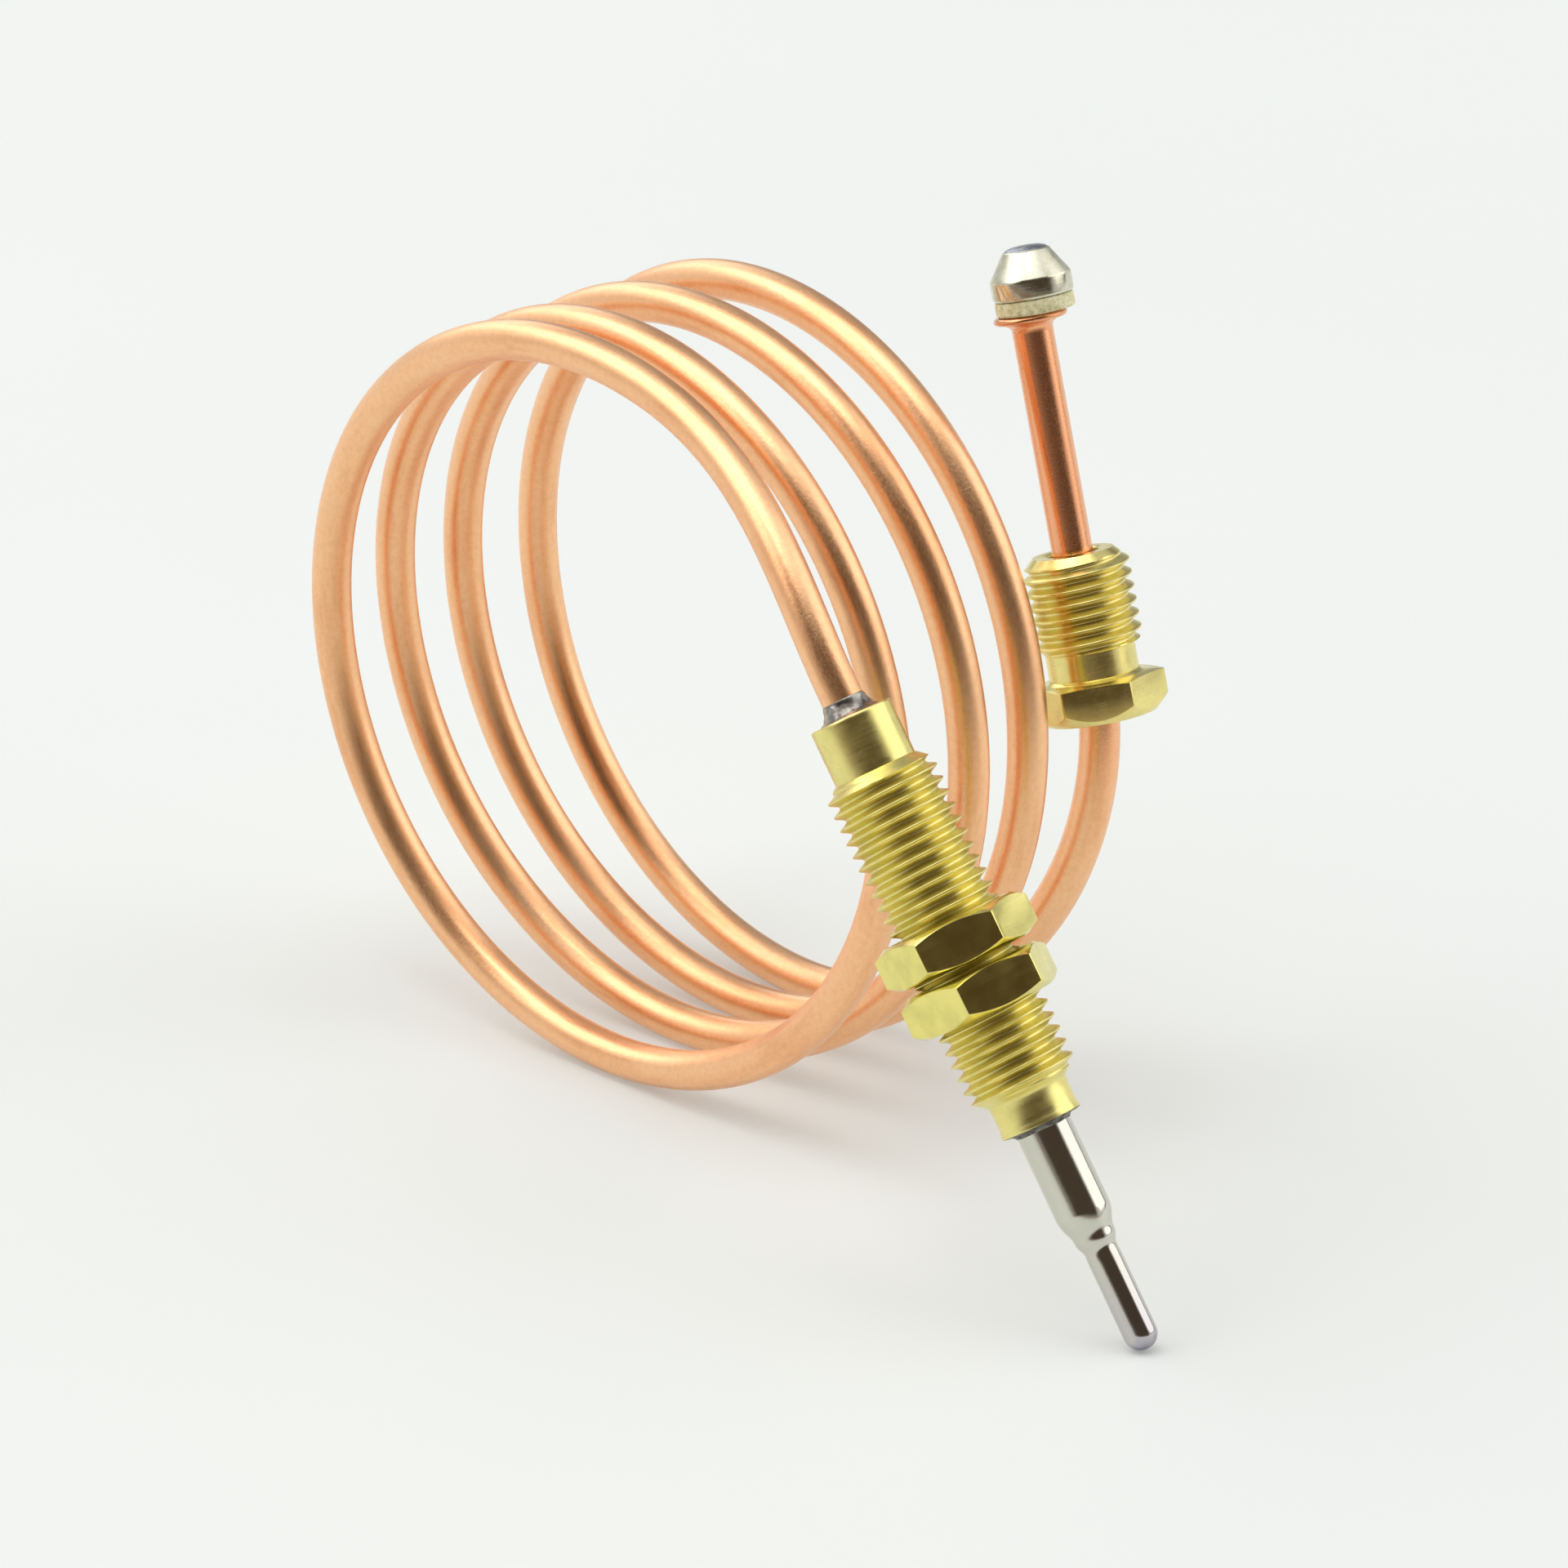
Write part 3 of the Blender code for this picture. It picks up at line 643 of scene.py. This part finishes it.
def sleeve_mesh(name):
    """Sleeve with a plain collar at each end of its thread. Heights run from 0 at its rear face."""
    angles = seam_angles(112)
    columns = len(angles)
    low, high = 4.1, 28.35
    envelope = [(3.08, low), (4.1, 4.98), (4.1, 27.75), (3.25, high)]
    thread = threaded_rows(angles, low, high, start=5.5, crest=4.03, root=3.38, envelope=envelope, seed=3)
    back = fixed_rows(columns, [(1.9, 0.12), (1.98, 0.0), (2.92, 0.0), (3.0, 0.07), (3.0, 0.3),
                                (3.0, 2.0), (3.0, 3.9), (3.0, 4.08)])
    front = fixed_rows(columns, [(3.08, 28.5), (2.95, 28.62), (2.88, 28.8), (2.86, 29.3), (2.86, 30.3),
                                 (2.90, 30.6), (3.0, 30.86), (2.98, 30.95), (2.2, 30.95), (2.2, 7.3),
                                 (1.9, 7.3)])
    burr = 0.05 * smooth_noise(angles[:, None], front[..., 1], 11, 3.0)
    crimp = 30.5
    front[..., 1] += burr * np.clip((front[..., 1] - crimp) / 0.3, 0.0, 1.0)
    section = np.concatenate([back, thread, front], 1)
    return grid_mesh(name, turned_points(section, angles), False, sharp=50.0)


def hexagon_radius(angles, flats, turn, corner_radius):
    """Distance from the axis to a hexagon with rounded corners."""
    half = flats / 2.0
    off_facet = np.mod(angles - math.radians(turn) + math.pi / 6.0, math.pi / 3.0) - math.pi / 6.0
    radius = half / np.cos(off_facet)
    centre = (half - corner_radius) / math.cos(math.pi / 6.0)
    off_corner = math.pi / 6.0 - np.abs(off_facet)
    tangent = math.atan((half - corner_radius) * math.tan(math.pi / 6.0) / half)
    rounded = np.abs(off_facet) > tangent
    inside = np.maximum(corner_radius ** 2 - (centre * np.sin(off_corner)) ** 2, 0.0)
    return np.where(rounded, centre * np.cos(off_corner) + np.sqrt(inside), radius)


def hexagon_angles(turn, flats, corner_radius):
    """Angles of mesh columns: even along each facet, close together round each corner."""
    half = flats / 2.0
    tangent = math.atan((half - corner_radius) * math.tan(math.pi / 6.0) / half)
    facet = np.linspace(-tangent, tangent, 17)
    corner = np.linspace(tangent, math.pi / 3.0 - tangent, 6)[1:-1]
    one = np.concatenate([facet, corner])
    return np.concatenate([one + math.radians(turn) + k * math.pi / 3.0 for k in range(6)])


def chamfered_sides(angles, flats, turn, corner_radius, low, high, low_cut, high_cut):
    """Rows up a hexagon's side; a cut is (face radius, angle in degrees)."""
    radius = hexagon_radius(angles, flats, turn, corner_radius)
    low_drop = np.maximum(radius - low_cut[0], 0.02) * math.tan(math.radians(low_cut[1]))
    high_drop = np.maximum(radius - high_cut[0], 0.02) * math.tan(math.radians(high_cut[1]))
    columns = len(angles)
    low_face = fixed_rows(columns, [(low_cut[0], low)])
    high_face = fixed_rows(columns, [(high_cut[0], high)])
    low_edge = np.stack([radius, low + low_drop], -1)[:, None]
    high_edge = np.stack([radius, high - high_drop], -1)[:, None]
    return np.concatenate([low_face, low_edge, high_edge, high_face], 1)


def lock_nut_mesh(name, turn):
    """Thin nut with both faces chamfered round the outside and at the bore."""
    angles = hexagon_angles(turn, LOCK_NUT_FLATS, LOCK_NUT_CORNER)
    columns = len(angles)
    cut = (4.78, 31.0)
    sides = chamfered_sides(angles, LOCK_NUT_FLATS, turn, LOCK_NUT_CORNER,
                            0.0, LOCK_NUT_THICKNESS, cut, cut)
    bore, countersink, depth = 4.12, 4.42, 0.32
    low = fixed_rows(columns, [(bore, depth), (countersink, 0.0)])
    high = fixed_rows(columns, [(countersink, LOCK_NUT_THICKNESS), (bore, LOCK_NUT_THICKNESS - depth)])
    section = soften(np.concatenate([low, sides, high], 1), 0.05)
    return grid_mesh(name, turned_points(section, angles), True, sharp=22.0)


def union_nut_mesh(name):
    """Hollow screw with a hexagon at its foot. Heights run down from 0 at its top face."""
    flats, turn, corner = UNION_NUT_FLATS, UNION_NUT_TURN, UNION_NUT_CORNER
    angles = np.mod(hexagon_angles(turn, flats, corner), 2.0 * math.pi)
    angles = np.unique(np.round(np.concatenate([angles, seam_angles(48)]), 9))
    columns = len(angles)
    low, high = -7.1, -0.05
    envelope = [(3.3, low), (3.6, -7.0), (4.1, -6.7), (4.1, -1.15), (3.02, high)]
    thread = threaded_rows(angles, low, high, start=-1.05, crest=4.0, root=3.4, envelope=envelope, seed=7)
    foot, shoulder = -12.2, -9.25
    sides = chamfered_sides(angles, flats, turn, corner, foot, shoulder, (4.1, 46.0), (3.6, 8.0))
    sides = soften(np.concatenate([fixed_rows(columns, [(2.4, foot)]), sides,
                                   fixed_rows(columns, [(3.55, -9.22), (3.3, -9.0)])], 1), 0.05)
    top = fixed_rows(columns, [(2.97, 0.0), (2.5, 0.0), (2.05, 0.0), (1.9, -0.08), (1.86, -0.3),
                               (1.85, -6.0), (1.85, -11.9), (2.0, -12.15)])
    neck = fixed_rows(columns, [(3.3, -8.6), (3.3, -8.0), (3.3, -7.3)])
    section = np.concatenate([sides, neck, thread, top], 1)
    return grid_mesh(name, turned_points(section, angles), False, sharp=32.0)


def sheath_mesh(name):
    """Steel sheath: barrel, swaged and rippled shoulder, and narrow nose with a round end."""
    heights = np.concatenate([np.linspace(15.0, 37.0, 30), np.linspace(37.1, 41.5, 60),
                              np.linspace(41.6, 46.9, 24)])
    shoulder, shoulder_length, barrel_radius, narrowing = 37.75, 2.75, 2.0, 0.78
    part = np.clip((heights - shoulder) / shoulder_length, 0.0, 1.0)
    ease = part * part * (3.0 - 2.0 * part)
    outer = barrel_radius - narrowing * (0.35 * part + 0.65 * ease)
    ripple = np.exp(-((heights - 39.85) / 0.75) ** 2)
    outer += 0.12 * ripple * np.sin((heights - 39.35) * 2.0 * math.pi / 2.2)
    tip = [(NOSE_RADIUS * math.cos(a), NOSE_HEIGHT + NOSE_RADIUS * math.sin(a))
           for a in np.linspace(0.0, math.pi / 2, 18)]
    profile = list(zip(outer, heights)) + tip
    profile += [(0.0, 47.0), (0.7, 46.9), (0.75, 40.4), (1.5, 37.9), (1.5, 15.0)]
    return turned_mesh(name, profile, 72, 0.0)


def braze_wobble(angles, section):
    shift = np.zeros(section.shape)
    off_sheath = section[..., 0] > 2.02
    shift[..., 0] = off_sheath * 0.08 * smooth_noise(angles, section[..., 1], 21, 4.0)
    shift[..., 1] = 0.07 * smooth_noise(angles, section[..., 0], 22, 4.0)
    return shift


def solder_wobble(angles, section):
    shift = np.zeros(section.shape)
    off_lead = section[..., 0] > 1.55
    off_sleeve = section[..., 1] < -0.3
    shift[..., 0] = off_lead * 0.09 * smooth_noise(angles, section[..., 1], 31, 1.6)
    shift[..., 1] = off_lead * off_sleeve * 0.3 * smooth_noise(angles, section[..., 0], 32, 0.45)
    return shift


def washer_wobble(angles, section):
    shift = np.zeros(section.shape)
    off_lead = section[..., 0] > 2.0
    shift[..., 0] = off_lead * 0.04 * smooth_noise(angles, section[..., 1], 41, 5.0)
    return shift


# Profiles of the small turned pieces: (radius, height) along the probe's or the button's axis.
BRAZE = ((2.0, 30.9), (2.9, 30.86), (2.93, 30.97), (2.75, 31.04), (2.4, 31.1), (2.17, 31.2),
         (2.04, 31.34), (2.0, 31.4))
SOLDER = ((1.45, -1.3), (1.53, -1.2), (1.59, -0.85), (1.7, -0.5), (1.9, -0.22), (2.18, -0.06),
          (2.32, 0.03), (1.45, 0.05))
FLANGE = ((1.5, -0.2), (2.35, -0.16), (2.6, -0.08), (2.72, 0.12), (2.62, 0.32), (2.4, 0.42), (1.5, 0.42))
WASHER = ((1.5, 0.44), (2.78, 0.44), (2.88, 0.6), (2.88, 1.4), (2.8, 1.53), (1.5, 1.53))
CONE = ((1.1, 1.55), (2.84, 1.55), (2.95, 1.72), (2.97, 2.3), (2.97, 2.9), (2.93, 3.02), (1.72, 4.9),
        (1.6, 4.98), (1.1, 4.98))
PAD = ((0.0, 4.85), (1.6, 4.85), (1.62, 4.95), (1.45, 5.08), (1.1, 5.19), (0.6, 5.25), (0.0, 5.26))


# Pieces

def add_piece(cad_node, body, slot, look, matrix, make_mesh, *shape):
    """Add the finer piece that stands for a CAD node, let it ride on its body, and hide that node."""
    name = cad_node + "_fine"
    mesh = make_mesh(name, *shape)
    mesh.materials.append(look)
    made = bpy.data.objects.new(name, mesh)
    bpy.context.scene.collection.objects.link(made)
    made.matrix_world = matrix
    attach(made, body)
    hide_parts(cad_node)


def build_pieces(looks):
    """Add all finer pieces. A turned piece gives its profile, sides, corner width and waviness."""
    rear_place = PROBE @ Matrix.Translation((0.0, 0.0, REAR_NUT_HEIGHT * MM))
    front_place = PROBE @ Matrix.Translation((0.0, 0.0, FRONT_NUT_HEIGHT * MM))
    union_place = CONNECTOR @ Matrix.Translation((0.0, 0.0, UNION_NUT_HEIGHT * MM))
    add_piece("lead_tube", "lead", "copper", looks["tube"], WORLD, lead_mesh)
    add_piece("mounting_sleeve", "lead", "brass", looks["thread"], PROBE, sleeve_mesh)
    add_piece("hot_junction_sheath", "lead", "steel", looks["steel"], PROBE, sheath_mesh)
    add_piece("front_braze_ring", "lead", "braze", looks["braze"], PROBE,
              turned_mesh, BRAZE, 120, 0.05, braze_wobble)
    add_piece("rear_solder_fillet", "lead", "solder", looks["solder"], PROBE,
              turned_mesh, SOLDER, 96, 0.1, solder_wobble)
    add_piece("rear_lock_nut", "rear_lock_nut", "brass", looks["nut"], rear_place,
              lock_nut_mesh, REAR_NUT_TURN)
    add_piece("front_lock_nut", "front_lock_nut", "brass", looks["nut"], front_place,
              lock_nut_mesh, FRONT_NUT_TURN)
    add_piece("union_nut", "union_nut", "brass", looks["union"], union_place, union_nut_mesh)
    add_piece("contact_flange", "lead", "copper", looks["flange"], CONNECTOR,
              turned_mesh, FLANGE, 96, 0.08)
    add_piece("insulating_washer", "lead", "fibre", looks["washer"], BUTTON,
              turned_mesh, WASHER, 120, 0.08, washer_wobble)
    add_piece("contact_cone", "lead", "tin", looks["tin"], BUTTON, turned_mesh, CONE, 120, 0.05)
    add_piece("contact_solder_pad", "lead", "solder", looks["pad"], BUTTON, turned_mesh, PAD, 96, 0.04)


def dress_inner_nodes(looks):
    """Looks of the CAD nodes that stay as they are, inside the lead and the probe."""
    chosen = {
        "thermoelement_wire": "constantan", "tip_weld_bead": "steel", "sheath_insulator": "ceramic",
        "cold_junction_splice": "inner_copper", "splice_insulator": "glass_fibre",
        "core_wire": "inner_copper", "core_insulation": "glass_fibre",
    }
    for name, look in chosen.items():
        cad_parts[name].material_slots[0].material = looks[look]


# Studio

def add_floor():
    """Pale paper with a painted glow that lightens the shadows on it, and a painted reflection that is
    browner towards the front.
    """
    mesh = bpy.data.meshes.new("floor")
    size = FLOOR_HALF_SIZE
    corners = [(-size, -size), (size, -size), (size, size), (-size, size)]
    mesh.from_pydata([(x, y, FLOOR_Z * MM) for x, y in corners], [], [(0, 1, 2, 3)])
    floor = bpy.data.objects.new("floor", mesh)
    bpy.context.scene.collection.objects.link(floor)
    # Its emission is a painted glow that lightens the shadows on the floor.
    made, tree, shader = principled("pale_paper", Roughness=0.55, Specular_IOR_Level=0.3,
                                    Emission_Strength=FLOOR_PAINTED_GLOW)
    place = node(tree, "ShaderNodeTexCoord").outputs["Object"]
    darker, lighter = FLOOR_TONES
    paper = ramp(tree, noise(tree, place, scale=9.0), [(0.3, darker), (0.7, lighter)])
    # Painted reflection: only glossy rays see the paper turn browner towards the front, which darkens what
    # the metal reflects there.
    ahead = node(tree, "ShaderNodeVectorMath", {0: place, 1: FRONT_WAY},
                 operation="DOT_PRODUCT").outputs["Value"]
    reflected = node(tree, "ShaderNodeLightPath").outputs["Is Glossy Ray"]
    shade = combine(tree, "MULTIPLY", reflected, spread(tree, ahead, *PAINTED_REFLECTION_FADE, 0.0, 1.0))
    paper = blend_colours(tree, shade, paper, PAINTED_REFLECTION_TONE)
    wire(tree, shader, Base_Color=paper, Emission_Color=paper)
    mesh.materials.append(made)


def add_world():
    """Pale room, dimmer behind, with four softboxes, a climbing dim strip and a dark patch in front."""
    world = bpy.data.worlds.new("studio")
    world.use_nodes = True
    tree = world.node_tree
    tree.nodes.clear()
    way = node(tree, "ShaderNodeTexCoord").outputs["Generated"]
    front, side = (node(tree, "ShaderNodeVectorMath", {0: way, 1: axis},
                        operation="DOT_PRODUCT").outputs["Value"] for axis in (FRONT_WAY, RIGHT_WAY))
    to_degrees = 180.0 / math.pi
    bearing = combine(tree, "MULTIPLY", combine(tree, "ARCTAN2", side, front), to_degrees)
    height = combine(tree, "MULTIPLY", combine(tree, "ARCSINE", along_z(tree, way), 0.0), to_degrees)
    light = spread(tree, combine(tree, "ABSOLUTE", bearing, 0.0), *ROOM_LIGHT)
    for strength, bearings, heights, lean in SOFTBOXES:
        leant = combine(tree, "ADD", bearing, combine(tree, "MULTIPLY", height, lean))
        shape = combine(tree, "MULTIPLY", window(tree, leant, *bearings), window(tree, height, *heights))
        light = combine(tree, "ADD", light, combine(tree, "MULTIPLY", shape, strength))
    above = combine(tree, "SUBTRACT", height, spread(tree, bearing, *STRIP_HEIGHT))
    across = combine(tree, "DIVIDE", above, spread(tree, bearing, *STRIP_WIDTH))
    strip = combine(tree, "MULTIPLY", window(tree, bearing, *STRIP_ENDS),
                    window(tree, across, *STRIP_BAND))
    light = combine(tree, "MULTIPLY", light, spread(tree, strip, 0.0, 1.0, 1.0, STRIP_LIGHT))
    dark = combine(tree, "MULTIPLY", window(tree, bearing, *FRONT_BEARINGS),
                   window(tree, height, *FRONT_HEIGHTS))
    grey = node(tree, "ShaderNodeCombineColor", {0: light, 1: light, 2: light}).outputs[0]
    tone = blend_colours(tree, dark, grey, FRONT_TONE)
    pane = node(tree, "ShaderNodeBackground", {"Color": tone, "Strength": 1.0})
    node(tree, "ShaderNodeOutputWorld", {"Surface": pane.outputs[0]})
    bpy.context.scene.world = world


def add_studio():
    add_floor()
    add_world()
    scene = bpy.context.scene
    scene.view_settings.view_transform = "Standard"
    scene.view_settings.look = "None"
    scene.view_settings.exposure = 0.0


add_camera()
materials = make_looks()
build_pieces(materials)
dress_inner_nodes(materials)
add_studio()

bpy.context.view_layer.update()
